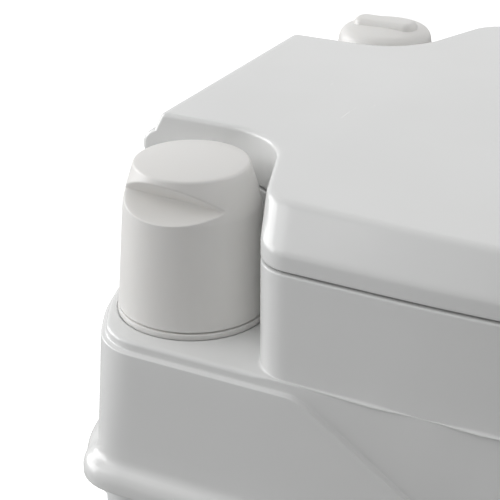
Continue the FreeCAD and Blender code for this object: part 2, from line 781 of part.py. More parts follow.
def spout_cap():
    x, y = spout_place()
    mid, end = bay_low + 40, x - spout_long + 16
    cup = bar(spout_r + 4.5, V(end + 16, y, mid), V(end - 6, y, mid))
    cup = cup.makeFillet(2, [e for e in cup.Edges if abs(e.CenterOfMass.x - end + 6) < 0.1])
    hollow = bar(spout_r + part_gap, V(end + 17, y, mid), V(end - 2, y, mid))
    ribs = []
    for i in range(18):
        rib = bar(1.3, V(end + 14, y + spout_r + 4.2, mid), V(end - 3.5, y + spout_r + 4.2, mid))
        ribs.append(rib.rotate(V(x, y, mid), X, i * 20))
    wing = block(end - 12, end - 5, y - 3, y + 3, mid - 18, mid + 18)
    return cup.fuse(ribs + [wing.makeFillet(2, wing.Edges)]).cut(hollow)


def carry_handle():
    left, right, z = grip_place()
    y = half_d + tank_proud - 13
    low = z - grip_drop
    route = [V(left + 5.5, y, z), V(left + 5.5, y, low), V(right - 5.5, y, low), V(right - 5.5, y, z)]
    bail = pipe(route, 5, 16)
    eyes = [bar(7, V(left, y, z), V(left + 11, y, z)), bar(7, V(right - 11, y, z), V(right, y, z))]
    grip = bar(8, V(left + 26, y, low), V(right - 26, y, low))
    pins = bar(pin_r + run_fit, V(left - 1, y, z), V(right + 1, y, z))
    return bail.fuse(eyes + [grip]).cut(pins)


def handle_pins():
    left, right, z = grip_place()
    y = half_d + tank_proud - 13
    ends = [(left - 5, left + 9), (right - 9, right + 5)]
    return group([bar(pin_r, V(a, y, z), V(b, y, z)) for a, b in ends])


def rear_face(z):
    """Y of the tank's drafted rear wall at a height."""
    share = (z - foot_height) / (tank_height - foot_height)
    return half_d + tank_proud - tank_draft * (1 - share)


def vent_bush():
    x, z = vent_place()
    face = rear_face(z)
    body = bar(6.9, V(x, face - 12, z), V(x, face + 1, z))
    body = body.fuse(bar(11, V(x, face + 0.3, z), V(x, face + 2.5, z)))
    bore = bar(5 + run_fit, V(x, face - 8, z), V(x, face + 3, z))
    stem = bar(2 + run_fit, V(x, face - 13, z), V(x, face - 7, z))
    return body.cut(bore.fuse(stem))


def vent_button():
    x, z = vent_place()
    face = rear_face(z)
    head = bar(5, V(x, face - 1.5, z), V(x, face + 7, z))
    head = head.makeFillet(1.2, [e for e in head.Edges if e.CenterOfMass.y > face + 6])
    return head.fuse(bar(2, V(x, face - 14.2, z), V(x, face - 1.5, z)))


def vent_seal():
    x, z = vent_place()
    face = rear_face(z)
    disc = bar(5.5, V(x, face - 14.2, z), V(x, face - 12.2, z))
    return disc.cut(bar(2, V(x, face - 15, z), V(x, face - 11, z)))


def vent_spring():
    x, z = vent_place()
    face, turns, wire, coil_r = rear_face(z), 4, 0.35, 3.4
    length = 8 - 1.5 - 2 * wire - 0.2
    helix = Part.makeHelix(length / turns, length, coil_r)
    corners = []
    for i in range(8):
        angle = math.radians(45 * i)
        corners.append(V(coil_r + wire * math.cos(angle), 0, wire * math.sin(angle)))
    section = Part.makePolygon(corners + [corners[0]])
    coil = Part.Wire(helix.Edges).makePipeShell([section], True, True)
    coil.rotate(V(0, 0, 0), X, -90)
    coil.translate(V(x, face - 8 + wire + 0.1, z))
    return coil


def clip_x():
    """Inner and outer X of the right-hand clip, beside the tank and inside the flange's outer face."""
    return half_w + tank_proud + 1.2, half_w + flange_proud - 0.8


def clip_pivot():
    return clip_y, tank_height - clip_drop


def clip_peg_z():
    return tank_height + flange_high / 2


def clip_bar(r, x0, x1, y, z):
    return bar(r, V(x0, y, z), V(x1, y, z))


def clip_right():
    """A hook that lies forward along the tank's side and swings up over a peg on the flange."""
    x0, x1 = clip_x()
    y, z = clip_pivot()
    reach = clip_peg_z() - z
    hub = clip_bar(7, x0, x1, y, z)
    arm = block(x0, x1, y - 5, y + 4, z, z + reach)
    tip = block(x0, x1, y - 5, y + 7, z + reach - 8, z + reach + 8)
    head = clip_bar(reach + 6, x0, x1, y, z).common(tip)
    way = clip_bar(reach + peg_r + 0.4, x0 - 1, x1 + 1, y, z).cut(
        clip_bar(reach - peg_r - 0.4, x0 - 1, x1 + 1, y, z))
    mouth = way.common(block(x0 - 1, x1 + 1, y - peg_r - 0.4, y + 20, z, z + reach + 20))
    hook = hub.fuse([arm, head]).cut(mouth).cut(clip_bar(pin_r + run_fit, x0 - 1, x1 + 1, y, z))
    return hook.rotate(V(0, y, z), X, 90)


def clip_left():
    return mirrored(clip_right())


def clip_pins():
    x1 = clip_x()[1]
    y, z = clip_pivot()
    pin = clip_bar(pin_r, half_w - 2, x1, y, z)
    return group([pin, mirrored(pin)])


def clip_recess():
    """Gap in the flange that the hook swings through, left and right."""
    y, z = clip_pivot()
    reach = clip_peg_z() - z + 8
    inner = half_w + skirt_proud
    gap = block(inner, width, y - reach, y + 10, tank_height - 1, tank_height + flange_high + 1)
    return gap.fuse(mirrored(gap))


def clip_pegs():
    y, z = clip_pivot()[0], clip_peg_z()
    peg = clip_bar(peg_r, half_w - 1, clip_x()[1], y, z)
    return [peg, mirrored(peg)]


def level_place():
    return -70.0, tank_height - 60


def front_face(z):
    return -rear_face(z)


def tank_level_window():
    x, z = level_place()
    face = front_face(z)
    disc = bar(11 - run_fit, V(x, face - 0.4, z), V(x, face + wall + 2, z))
    lip = bar(14, V(x, face - 2, z), V(x, face - 0.4, z))
    return disc.fuse(lip.makeFillet(0.6, [e for e in lip.Edges if e.CenterOfMass.y < face - 1.5]))


def float_line():
    x, z = level_place()
    return x, front_face(z) + wall + 24, z


def float_bracket():
    x, y, z = float_line()
    face = front_face(z - 24) + wall + 0.3
    ears = [block(x + a, x + a + 3.5, face, y + 4, z - 24, z - 14) for a in (-9, 5.5)]
    plate = block(x - 9, x + 9, face, face + 3, z - 24, z - 14)
    return plate.fuse(ears).cut(bar(1.5, V(x - 8, y, z - 19), V(x + 8, y, z - 19)))


def float_pivot():
    x, y, z = float_line()
    return bar(1.5, V(x - 8, y, z - 19), V(x + 8, y, z - 19))


def level_float():
    x, y, z = float_line()
    arm = block(x - 2.5, x + 2.5, y, y + 74, z - 21, z - 17)
    hub = bar(4, V(x - 5, y, z - 19), V(x + 5, y, z - 19))
    bulb = Part.makeSphere(17, V(x, y + 84, z - 19))
    flag = block(x - 2.5, x + 2.5, y - 4, y, z - 21, z + 6)
    return arm.fuse([hub, bulb, flag]).cut(bar(1.5 + run_fit, V(x - 9, y, z - 19), V(x + 9, y, z - 19)))


PARTS = [
    holding_tank, tank_feet, spout_base, pour_spout, spout_cap_seal, spout_cap, carry_handle,
    handle_pins, vent_bush, vent_button, vent_seal, vent_spring, tank_level_window, float_bracket,
    float_pivot, level_float, valve_housing, valve_seal, valve_blade, valve_rod, valve_handle,
    valve_screws, clip_left, clip_right, clip_pins, flush_tank_shell, flush_level_window, base_plate,
    base_screws, bowl, flush_nozzle, flush_tube, pump_barrel, pump_inlet_valve, pump_guide, pump_collar,
    pump_rod, pump_piston, piston_seal, pump_knob, filler_neck, filler_cap_seal, filler_cap, hinge_pins,
    seat, seat_buffers, lid, lid_buffers,
]

os.makedirs("parts", exist_ok=True)
for make in PARTS:
    shape = make()
    shape.exportStep(f"parts/{make.__name__}.step")
    print(make.__name__, len(shape.Solids), round(shape.Volume / 1000, 1), shape.isValid())
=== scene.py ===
import json
import math
import bmesh
import bpy
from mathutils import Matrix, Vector


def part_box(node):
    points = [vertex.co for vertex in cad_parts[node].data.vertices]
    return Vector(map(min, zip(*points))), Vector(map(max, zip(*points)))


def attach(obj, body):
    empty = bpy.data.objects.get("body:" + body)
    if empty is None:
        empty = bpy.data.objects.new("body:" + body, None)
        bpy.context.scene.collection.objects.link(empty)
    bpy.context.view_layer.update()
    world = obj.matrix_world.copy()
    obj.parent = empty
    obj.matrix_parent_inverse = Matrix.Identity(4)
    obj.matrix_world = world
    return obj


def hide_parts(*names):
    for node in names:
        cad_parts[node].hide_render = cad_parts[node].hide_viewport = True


# Looks of the free-standing cassette toilet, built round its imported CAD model.
# Metres, +Z up, the front faces -Y.

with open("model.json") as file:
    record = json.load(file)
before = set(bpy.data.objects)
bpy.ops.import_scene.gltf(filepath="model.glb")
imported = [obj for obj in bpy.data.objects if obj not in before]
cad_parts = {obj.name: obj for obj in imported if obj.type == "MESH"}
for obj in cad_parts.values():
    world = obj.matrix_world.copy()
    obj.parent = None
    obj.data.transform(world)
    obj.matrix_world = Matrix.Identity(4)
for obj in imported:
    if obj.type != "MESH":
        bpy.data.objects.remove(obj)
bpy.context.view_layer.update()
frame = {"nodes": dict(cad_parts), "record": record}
MM = 0.001
ARC_STEPS = 22                  # of each corner's arc in a loop
RUN_STEPS = 10                  # of each straight run in a loop
CREASE_ANGLE = 32               # degrees; sharper turns show as hard edges
CAD_CREASE_ANGLE = 28

# ---- sizes, read from the CAD nodes ----


def middle(node):
    low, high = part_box(node)
    return (low + high) / 2


flange_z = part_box("flush_tank_shell")[0].z
lid_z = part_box("lid")[1].z
rim_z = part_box("lid")[0].z
deck_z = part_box("seat_buffers")[0].z
ledge_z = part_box("pump_collar")[0].z
wall_out = 3.5 * MM             # side wall outside the base plate's edge
half_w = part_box("base_plate")[1].x + wall_out
half_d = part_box("base_plate")[1].y + wall_out
pump_x = abs(middle("pump_rod").x)
pump_y = middle("pump_rod").y
hinge_y = middle("hinge_pins").y
hinge_z = middle("hinge_pins").z
bowl_low, bowl_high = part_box("bowl")

# ---- sizes that only the outer skins need ----
wall = 3 * MM
flange_proud = 10.5 * MM
flange_high = 13 * MM
skirt_proud = 2.8 * MM          # side wall below the crease, beyond the wall above it
corner_proud = 5.5 * MM         # further flare of the flange at the rear corners
crest_drop = 6 * MM             # crease below the ledge
crest_floor = 21 * MM           # lowest height of the crease above the flange's foot
crest_turn_y = pump_y - 82 * MM     # the crease falls from here to the front
crest_slope = math.tan(math.radians(35))
deck_rear_in = 8 * MM           # rear edge of deck and lid, in from the body's
chamfer_in = 14 * MM
chamfer_high = 19.5 * MM
hinge_r = 9 * MM
lug_r = 8.6 * MM
lug_from = 57 * MM              # the body's hinge lugs, out from the middle
lug_to = 68 * MM
slot_r = 10.5 * MM
slot_from = 44 * MM             # the lid's slots for seat knuckles and body lugs
slot_to = 69 * MM
notch_r = 42.5 * MM             # opening in the lid's side, round the pump
notch_x = pump_x - notch_r
notch_slant = math.radians(20)


# ---- mesh helpers ----

def outline(corners):
    """A closed loop for (x, y, radius) corners, with tangent arcs and divided straight runs."""
    arcs = []
    count = len(corners)
    for i in range(count):
        x, y, r = corners[i]
        here = Vector((x, y))
        back = (Vector(corners[i - 1][:2]) - here).normalized()
        ahead = (Vector(corners[(i + 1) % count][:2]) - here).normalized()
        half = back.angle(ahead) / 2
        centre = here + (back + ahead).normalized() * (r / math.sin(half))
        start = here + back * (r / math.tan(half)) - centre
        turn = (math.pi - 2 * half) * (1 if back.x * ahead.y - back.y * ahead.x < 0 else -1)
        arc = []
        for k in range(ARC_STEPS + 1):
            a = turn * k / ARC_STEPS
            spun = Vector((start.x * math.cos(a) - start.y * math.sin(a),
                           start.x * math.sin(a) + start.y * math.cos(a)))
            arc.append(centre + spun)
        arcs.append(arc)
    points = []
    for i in range(count):
        points += arcs[i]
        end, start = arcs[i][-1], arcs[(i + 1) % count][0]
        points += [end.lerp(start, k / RUN_STEPS) for k in range(1, RUN_STEPS)]
    return points


def normals(points):
    """Outward normals of a clockwise or anticlockwise loop."""
    area = sum(a.x * b.y - b.x * a.y for a, b in zip(points, points[1:] + points[:1]))
    sign = 1 if area > 0 else -1
    result = []
    count = len(points)
    for i in range(count):
        along = (points[(i + 1) % count] - points[i - 1]).normalized()
        result.append(Vector((along.y, -along.x)) * sign)
    return result


def both_sides(left):
    return left + [(-x, y, r) for x, y, r in reversed(left)]


def side_corners(inset):
    return [(-half_w + inset, 0, 0.9), (-half_w + 5 * MM + inset, -half_d + 30 * MM + inset, 0.06),
            (-half_w + 61 * MM + inset, -half_d + inset, 0.11)]


def notched(share, rear_y):
    """The lid's outline: share runs from 0 at the rim to 1 at the top."""
    inset = chamfer_in * share
    wall_r = notch_r + share * MM
    touch_x = -pump_x + wall_r * math.sin(notch_slant)
    touch_y = pump_y - wall_r * math.cos(notch_slant)
    slope = math.tan(notch_slant)
    wall_x = notch_x - share * MM
    side_x = -half_w + 2.5 * MM + inset * 1.25
    rear = [(-wall_x, rear_y, 3.6 * MM), (-wall_x, touch_y - (touch_x + wall_x) * slope, wall_r),
            (side_x, touch_y + (side_x - touch_x) * slope, (22 + 2 * share) * MM)]
    return outline(both_sides(rear + side_corners(inset)))


def resampled(points, count):
    """The open path through points, cut into equal lengths."""
    lengths = [0.0]
    for a, b in zip(points, points[1:]):
        lengths.append(lengths[-1] + (b - a).length)
    result = []
    k = 0
    for i in range(count):
        want = lengths[-1] * i / (count - 1)
        while k < len(points) - 2 and lengths[k + 1] < want:
            k += 1
        span = lengths[k + 1] - lengths[k]
        result.append(points[k].lerp(points[k + 1], (want - lengths[k]) / span if span else 0))
    return result


def bridge(bm, lower, upper):
    count = len(lower)
    for i in range(count):
        j = (i + 1) % count
        bm.faces.new((lower[i], lower[j], upper[j], upper[i]))


def ring_of(bm, points, z):
    return [bm.verts.new((p.x, p.y, z)) for p in points]


def shifted(points, out, amounts):
    """Loop moved along its outward normals by one amount, or by one for each point."""
    if not isinstance(amounts, list):
        amounts = [amounts] * len(points)
    return [p + n * a for p, n, a in zip(points, out, amounts)]


def finish_mesh(bm, name, crease_angle=CREASE_ANGLE):
    bmesh.ops.remove_doubles(bm, verts=bm.verts, dist=0.00001)
    bmesh.ops.recalc_face_normals(bm, faces=bm.faces)
    mesh = bpy.data.meshes.new(name)
    bm.to_mesh(mesh)
    bm.free()
    mesh.shade_smooth()
    mesh.set_sharp_from_angle(angle=math.radians(crease_angle))
    obj = bpy.data.objects.new(name, mesh)
    bpy.context.scene.collection.objects.link(obj)
    return obj


def add_prism(bm, points, x0, x1):
    """A closed prism of (y, z) points from x0 to x1."""
    a = [bm.verts.new((x0, y, z)) for y, z in points]
    b = [bm.verts.new((x1, y, z)) for y, z in points]
    bridge(bm, a, b)
    bm.faces.new(a)
    bm.faces.new(list(reversed(b)))


def cut(obj, cutter):
    """Take the cutter's form out of obj for good."""
    tool = obj.modifiers.new("cut", "BOOLEAN")
    tool.operation = "DIFFERENCE"
    tool.solver = "EXACT"
    tool.use_self = True
    tool.object = cutter
    bpy.context.view_layer.update()
    shown = obj.evaluated_get(bpy.context.evaluated_depsgraph_get())
    mesh = bpy.data.meshes.new_from_object(shown)
    obj.modifiers.clear()
    obj.data = mesh
    mesh.set_sharp_from_angle(angle=math.radians(CREASE_ANGLE))
    bpy.data.objects.remove(cutter)


def arc_points(y, z, r, degrees):
    """(y, z) points on a circle."""
    return [(y + r * math.cos(a), z + r * math.sin(a)) for a in (math.radians(d) for d in degrees)]


def bezier(a, b, c, steps):
    """Points of a quadratic curve; it rounds the corner at b."""
    points = []
    for k in range(steps + 1):
        t = k / steps
        near, mid, far = (1 - t) ** 2, 2 * t * (1 - t), t * t
        points.append(tuple(p * near + q * mid + r * far for p, q, r in zip(a, b, c)))
    return points


def fill_between(bm, outer, inner):
    """Flat face between two loops at one height."""
    edges = set()
    for loop in (outer, inner):
        for i in range(len(loop)):
            pair = (loop[i], loop[(i + 1) % len(loop)])
            edge = bm.edges.get(pair) or bm.edges.new(pair)
            edges.add(edge)
    bmesh.ops.triangle_fill(bm, edges=list(edges), use_beauty=True, use_dissolve=False)


# ---- lid ----

def lid_rear(z):
    """Y of the lid's rear face: hinge barrel below, sloping edge above."""
    slope_y = hinge_y - 3.2 * MM + (lid_z - z) * 0.49
    reach = hinge_r ** 2 - (z - hinge_z) ** 2
    barrel_y = hinge_y + math.sqrt(reach) if reach > 0 else hinge_y - hinge_r
    low_wall = half_d - deck_rear_in
    return max(barrel_y, slope_y if z > hinge_z else low_wall)


def lid_levels():
    """(share, inset, z) from the rim's lower edge to the top."""
    foot = lid_z - chamfer_high
    fall = lid_z - foot
    levels = [(0, 0.9 * MM, rim_z), (0, 0.3 * MM, rim_z + 0.25 * MM), (0, 0, rim_z + 0.9 * MM)]
    for k in range(1, 8):
        levels.append((0, 0, rim_z + 0.9 * MM + (foot - 2.2 * MM - rim_z - 0.9 * MM) * k / 7))
    levels += bezier((0, 0, foot - 2 * MM), (0, 0, foot), (0.11, 0, foot + 0.11 * fall), 6)[1:]
    for k in range(1, 16):
        share = 0.11 + 0.74 * k / 15
        levels.append((share, 0, foot + share * fall))
    levels += bezier((0.87, 0, foot + 0.87 * fall), (1, 0, lid_z), (1, 3.2 * MM, lid_z), 10)
    return levels


def make_lid():
    bm = bmesh.new()
    rings = []
    for share, inset, z in lid_levels():
        points = notched(share, lid_rear(z))
        rings.append(ring_of(bm, shifted(points, normals(points), -inset), z))
    for low, high in zip(rings, rings[1:]):
        bridge(bm, low, high)
    bm.faces.new(rings[-1])
    hollow_lid(bm, rings[0])
    lid = finish_mesh(bm, "lid_skin", 40)
    cut(lid, lid_slots())
    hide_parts("lid")
    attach(lid, "lid")
    return lid


def hollow_lid(bm, rim):
    """The lid's inner faces, one wall inside the outer ones and joined to them at the rim."""
    hollow = []
    for k in range(25):
        z = rim_z + (lid_z - wall - rim_z) * k / 24
        share = max(0.0, (z - lid_z + chamfer_high) / chamfer_high)
        points = notched(share, lid_rear(z))
        hollow.append(ring_of(bm, shifted(points, normals(points), -wall), z))
    bridge(bm, hollow[0], rim)
    for low, high in zip(hollow, hollow[1:]):
        bridge(bm, high, low)
    bm.faces.new(list(reversed(hollow[-1])))


def lid_slots():
    """Room for the seat knuckles and the body lugs, round the hinge and down through the rim."""
    bm = bmesh.new()
    hub = arc_points(hinge_y, hinge_z, slot_r, range(-90, 121, 10))
    front = hinge_y - 20 * MM
    below = rim_z - 10 * MM
    slot = hub + [(front, hinge_z + 9.1 * MM), (front, below), (hinge_y, below)]
    for side in (-1, 1):
        add_prism(bm, slot, side * slot_from, side * slot_to)
    return finish_mesh(bm, "slots")


# ---- upper body ----

def crest(y):
    """Height of the crease above which the side wall stands in."""
    high = ledge_z - crest_drop
    fall = max(0.0, crest_turn_y - y) * crest_slope
    knee = 6 * MM
    soft = fall * fall / (fall + knee) if fall else 0
    return max(flange_z + crest_floor, high - soft)


def body_outlines():
    """The lower wall's loop and the deck's loop, with matching points."""
    rear = [(-half_w + 53 * MM, half_d, 0.11), (-half_w + 2 * MM, half_d - 26 * MM, 0.03)]
    lower = outline(both_sides(rear + side_corners(0)))
    upper = notched(0, half_d - deck_rear_in)
    step = ARC_STEPS + RUN_STEPS
    shared = 6 * step - RUN_STEPS + 1      # points of the six front arcs and the runs between
    low_first = 2 * step
    up_first = 3 * step
    front_low = lower[low_first:low_first + shared]
    front_up = upper[up_first:up_first + shared]
    up_rest = upper[up_first + shared - 1:] + upper[:up_first + 1]
    low_rest = lower[low_first + shared - 1:] + lower[:low_first + 1]
    count = 260
    up_even = resampled(up_rest, count)
    low_even = resampled(low_rest, count)
    return front_low + low_even[1:-1], front_up + up_even[1:-1]


def oval(a, b, y):
    turns = [math.radians(3 * k) for k in range(120)]
    return [Vector((a * math.cos(t), y + b * math.sin(t))) for t in turns]


def make_body():
    lower, upper = body_outlines()
    low_out, up_out = normals(lower), normals(upper)
    gaps = [min(1.0, (a - b).length / (9 * MM)) for a, b in zip(lower, upper)]
    crests = [crest(p.y) for p in lower]
    top_low = flange_z + crest_floor + 0.5 * MM
    proud = [skirt_proud * min(1.0, (c - top_low) / (6 * MM)) if c > top_low else 0 for c in crests]
    bm = bmesh.new()
    flare = [corner_proud * (2 * n.x * n.y) ** 2 if n.y > 0 else 0 for n in low_out]

    def lower_ring(outs, heights, spread=0.0):
        if not isinstance(outs, list):
            outs = [outs] * len(lower)
        moved = shifted(lower, low_out, [out + f * spread for out, f in zip(outs, flare)])
        if not isinstance(heights, list):
            heights = [heights] * len(lower)
        return [bm.verts.new((p.x, p.y, z)) for p, z in zip(moved, heights)]

    # the flange, and the hollow curve from it up into the wall
    rings = [lower_ring(-wall, flange_z)]
    lip = [(9.2, 0), (10.0, 0.3), (10.4, 0.9), (10.5, 1.8), (10.5, 5.0), (10.3, 6.6), (9.7, 8.4),
           (8.6, 10.2), (7.2, 11.8)]
    rings += [lower_ring(out * MM, flange_z + z * MM, 1) for out, z in lip]
    for share, z in ((0.62, 13.0), (0.28, 14.6), (0.08, 16.4), (0.0, 18.5)):
        outs = [w + share * (6.4 * MM - w * 0.6) for w in proud]
        rings.append(lower_ring(outs, flange_z + z * MM, 0.8 + 0.15 * share))
    # the skirt up to the crease, and the step in at the crease
    for k in range(1, 7):
        heights = [top_low - 3 * MM + (c + 2 * MM - top_low) * k / 6 for c in crests]
        rings.append(lower_ring(proud, heights, 0.8 * (1 - k / 6)))
    step = [(0.99, -0.7), (0.93, -0.35), (0.8, -0.1), (0.6, 0.1), (0.4, 0.3), (0.2, 0.5), (0.07, 0.8),
            (0, 1.3)]
    for share, rise in step:
        rings.append(lower_ring([w * share for w in proud], [c + rise * MM for c in crests]))
    # the wall above it, rounded over to the ledge
    tops = [ledge_z - 2.6 * MM * g for g in gaps]
    rings.append(lower_ring(0.0, tops))
    for out, z in bezier((0, -2.6 * MM), (0, 0), (-3 * MM, 0), 6)[1:]:
        rings.append(lower_ring([out * g for g in gaps], [ledge_z + z * g for g in gaps]))
    # the ledge across to the deck's wall, and that wall up to the deck
    foot = bezier((2.2 * MM, 0), (0, 0), (0, 2.2 * MM), 5)
    for out, rise in foot:
        moved = shifted(upper, up_out, [out * g for g in gaps])
        heights = [ledge_z + rise * g + 0.01 * MM for g in gaps]
        rings.append([bm.verts.new((p.x, p.y, z)) for p, z in zip(moved, heights)])
    for k in range(1, 6):
        z = ledge_z + 2.4 * MM + (deck_z - 1.6 * MM - ledge_z - 2.4 * MM) * k / 5
        rings.append(ring_of(bm, upper, z))
    for out, z in bezier((0, -1.3 * MM), (0, 0), (-1.3 * MM, 0), 5):
        rings.append(ring_of(bm, shifted(upper, up_out, out), deck_z + z))
    for low, high in zip(rings, rings[1:]):
        bridge(bm, low, high)
    # the inner faces, and the mouth over the bowl
    inner = [ring_of(bm, shifted(upper, up_out, -wall), deck_z - wall),
             ring_of(bm, shifted(upper, up_out, -wall), ledge_z - wall),
             ring_of(bm, shifted(lower, low_out, -wall), ledge_z - wall - 0.02 * MM), rings[0]]
    for high, low in zip(inner, inner[1:]):
        bridge(bm, low, high)
    half_mouth = (bowl_high.y - bowl_low.y) / 2 - 8.5 * MM
    mouth = oval(bowl_high.x - 8.5 * MM, half_mouth, (bowl_high.y + bowl_low.y) / 2)
    top_hole = ring_of(bm, mouth, deck_z)
    low_hole = ring_of(bm, mouth, deck_z - wall)
    bridge(bm, low_hole, top_hole)
    fill_between(bm, rings[-1], top_hole)
    fill_between(bm, inner[0], low_hole)
    body = finish_mesh(bm, "body_skin", 40)
    cut(body, body_cuts())
    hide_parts("flush_tank_shell")
    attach(body, "flush_section")
    return body


def add_box(bm, x_span, y_span, z_span):
    y0, y1 = y_span
    z0, z1 = z_span
    add_prism(bm, [(y0, z0), (y1, z0), (y1, z1), (y0, z1)], *x_span)


def body_cuts():
    """Gaps in the flange for side clips and valve handle, and a groove round the pump collar."""
    bm = bmesh.new()
    below = flange_z - 10 * MM
    clip = middle("clip_pins").y
    reach = flange_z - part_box("clip_pins")[0].z + 12 * MM
    for side in (-1, 1):
        add_box(bm, (side * (half_w + skirt_proud), side * (half_w + 30 * MM)),
                (clip - reach, clip + 10 * MM), (below, flange_z + 14 * MM))
    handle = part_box("valve_handle")
    half = (handle[1].x - handle[0].x) / 2 + 4 * MM
    add_box(bm, (-half, half), (-half_d - 30 * MM, -half_d + 30 * MM), (below, flange_z + 5 * MM))
    collar_r = (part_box("pump_collar")[1].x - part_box("pump_collar")[0].x) / 2
    turns = [math.radians(3 * k) for k in range(120)]
    rings = []
    for out, rise in ((-1, -1), (1, -1), (1, 1), (-1, 1)):
        r = collar_r + out * MM
        circle = [Vector((r * math.cos(t) - pump_x, r * math.sin(t) + pump_y)) for t in turns]
        rings.append(ring_of(bm, circle, ledge_z + rise * MM))
    for k in range(4):
        bridge(bm, rings[k - 1], rings[k])
    return finish_mesh(bm, "gaps")


def make_lugs():
    """Hinge lugs and clip pegs that stand on the body."""
    bm = bmesh.new()
    hub = arc_points(hinge_y, hinge_z, lug_r, range(-100, 181, 8))
    web = hub + [(hinge_y - 12 * MM, hinge_z), (hinge_y - 14 * MM, deck_z - 4 * MM),
                 (hinge_y - 5 * MM, deck_z - 4 * MM), (hinge_y - 4 * MM, deck_z + MM)]
    for side in (-1, 1):
        add_prism(bm, web, side * lug_from, side * lug_to)
    peg_z = flange_z + flange_high / 2
    peg = arc_points(middle("clip_pins").y, peg_z, 2.5 * MM, range(0, 360, 15))
    for side in (-1, 1):
        add_prism(bm, peg, side * (half_w + 3 * MM), side * (half_w + flange_proud - 0.8 * MM))
    lugs = finish_mesh(bm, "body_lugs")
    soften = lugs.modifiers.new("soft_edges", "BEVEL")
    soften.width = 0.6 * MM
    soften.segments = 3
    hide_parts("flush_tank_shell")
    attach(lugs, "flush_section")
    return lugs


# ---- pump knob ----

knob_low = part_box("pump_knob")[0]
foot_r = 40 * MM
shoulder_r = 36 * MM
shoulder_z = lid_z - 26 * MM
crown_in = 5.9 * MM             # from the shoulder to the top edge
crown_high = 21.3 * MM
crown_z = shoulder_z + crown_high
neck_r = 38.4 * MM
neck_high = 0.7 * MM
groove_way = math.radians(176)
groove_z = lid_z - 20.5 * MM
groove_r = 15.8 * MM            # from the axis to where the groove's two slopes would meet
slope_above = 1.17              # outward for each metre up
slope_below = 3.45              # outward for each metre down


def knob_radius(z):
    """Radius of the knob without its groove: a slight taper, and a stronger one over the shoulder."""
    if z <= shoulder_z:
        return foot_r - (foot_r - shoulder_r) * (z - knob_low.z) / (shoulder_z - knob_low.z)
    return shoulder_r - crown_in * ((z - shoulder_z) / crown_high) ** 1.15


def groove_reach(z):
    """Distance from the axis to the finger groove's wall, along the groove's direction."""
    above, below = (z - groove_z) * slope_above, (groove_z - z) * slope_below
    return groove_r - soft_min(-above, -below, 5.5 * MM)


def soft_min(a, b, width):
    """The smaller of a and b, with the corner between them rounded."""
    h = max(0.0, width - abs(a - b)) / width
    return min(a, b) - h * h * width / 4


def make_knob():
    bm = bmesh.new()
    steps = 240
    foot = knob_low.z + neck_high
    heights = [foot + (lid_z - 31 * MM - foot) * k / 10 for k in range(11)]
    heights += [lid_z - 31 * MM + 24.5 * MM * k / 110 for k in range(1, 111)]
    heights += [lid_z - 6.5 * MM + 1.3 * MM * k / 3 for k in range(1, 4)]
    rings = []

    def ring(radius_at, z):
        verts = []
        for k in range(steps):
            a = 2 * math.pi * k / steps
            r = radius_at(a, z)
            verts.append(bm.verts.new((-pump_x + r * math.cos(a), pump_y + r * math.sin(a), z)))
        return verts

    def side_radius(a, z):
        r = knob_radius(z)
        facing = math.cos(a - groove_way)
        if facing > 0.2:
            r = soft_min(r, groove_reach(z) / facing, 0.9 * MM)
        return r

    for z in heights:
        rings.append(ring(side_radius, z))
    last = knob_radius(heights[-1])
    rim_r = last - 1.3 * MM
    rim_top = crown_z + 0.6 * MM
    for r, z in bezier((last, heights[-1]), (last - 0.4 * MM, crown_z + 0.4 * MM), (rim_r, rim_top), 6)[1:]:
        rings.append(ring(lambda a, h: r, z))
    for k in range(1, 14):
        share = 1 - k / 14
        rings.append(ring(lambda a, h: rim_r * share, rim_top + 1.65 * MM * (1 - share ** 2)))
    for low, high in zip(rings, rings[1:]):
        bridge(bm, low, high)
    bm.faces.new(rings[-1])
    neck = ring(lambda a, h: neck_r, foot)
    sole = ring(lambda a, h: neck_r, knob_low.z)
    bridge(bm, neck, rings[0])
    bridge(bm, sole, neck)
    bm.faces.new(sole)
    knob = finish_mesh(bm, "knob_skin", 60)
    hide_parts("pump_knob")
    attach(knob, "pump")
    return knob


# ---- filler cap ----

def cap_dome(bm, centre, foot_z):
    """Closed dome. Its profile is (radius, height, share of the grip ribs' depth), in millimetres."""
    steps = 288
    ribs = 36
    rib_deep = 0.55
    profile = [(29.0, 0, 0), (31.0, 0, 0), (31.4, 0.5, 0.2), (31.5, 1.5, 1), (31.3, 14.0, 1),
               (30.9, 16.0, 0.6), (30.4, 18.0, 0.1), (30.0, 20.0, 0)]
    profile += [(r, z, 0) for r, z in bezier((30.0, 20.0), (29.6, 27.0), (24.0, 28.4), 12)[1:]]
    profile += [(r, z, 0) for r, z in bezier((24.0, 28.4), (14.0, 30.2), (0.6, 30.3), 10)[1:]]
    rings = []
    for r, z, rib in profile:
        verts = []
        for k in range(steps):
            a = 2 * math.pi * k / steps
            scallop = rib * rib_deep * (0.5 - 0.5 * math.cos(ribs * a))
            reach = (r - scallop) * MM
            x, y = centre.x + reach * math.cos(a), centre.y + reach * math.sin(a)
            verts.append(bm.verts.new((x, y, foot_z + z * MM)))
        rings.append(verts)
    for a, b in zip(rings, rings[1:]):
        bridge(bm, a, b)
    bm.faces.new(rings[-1])
    bm.faces.new(rings[0])


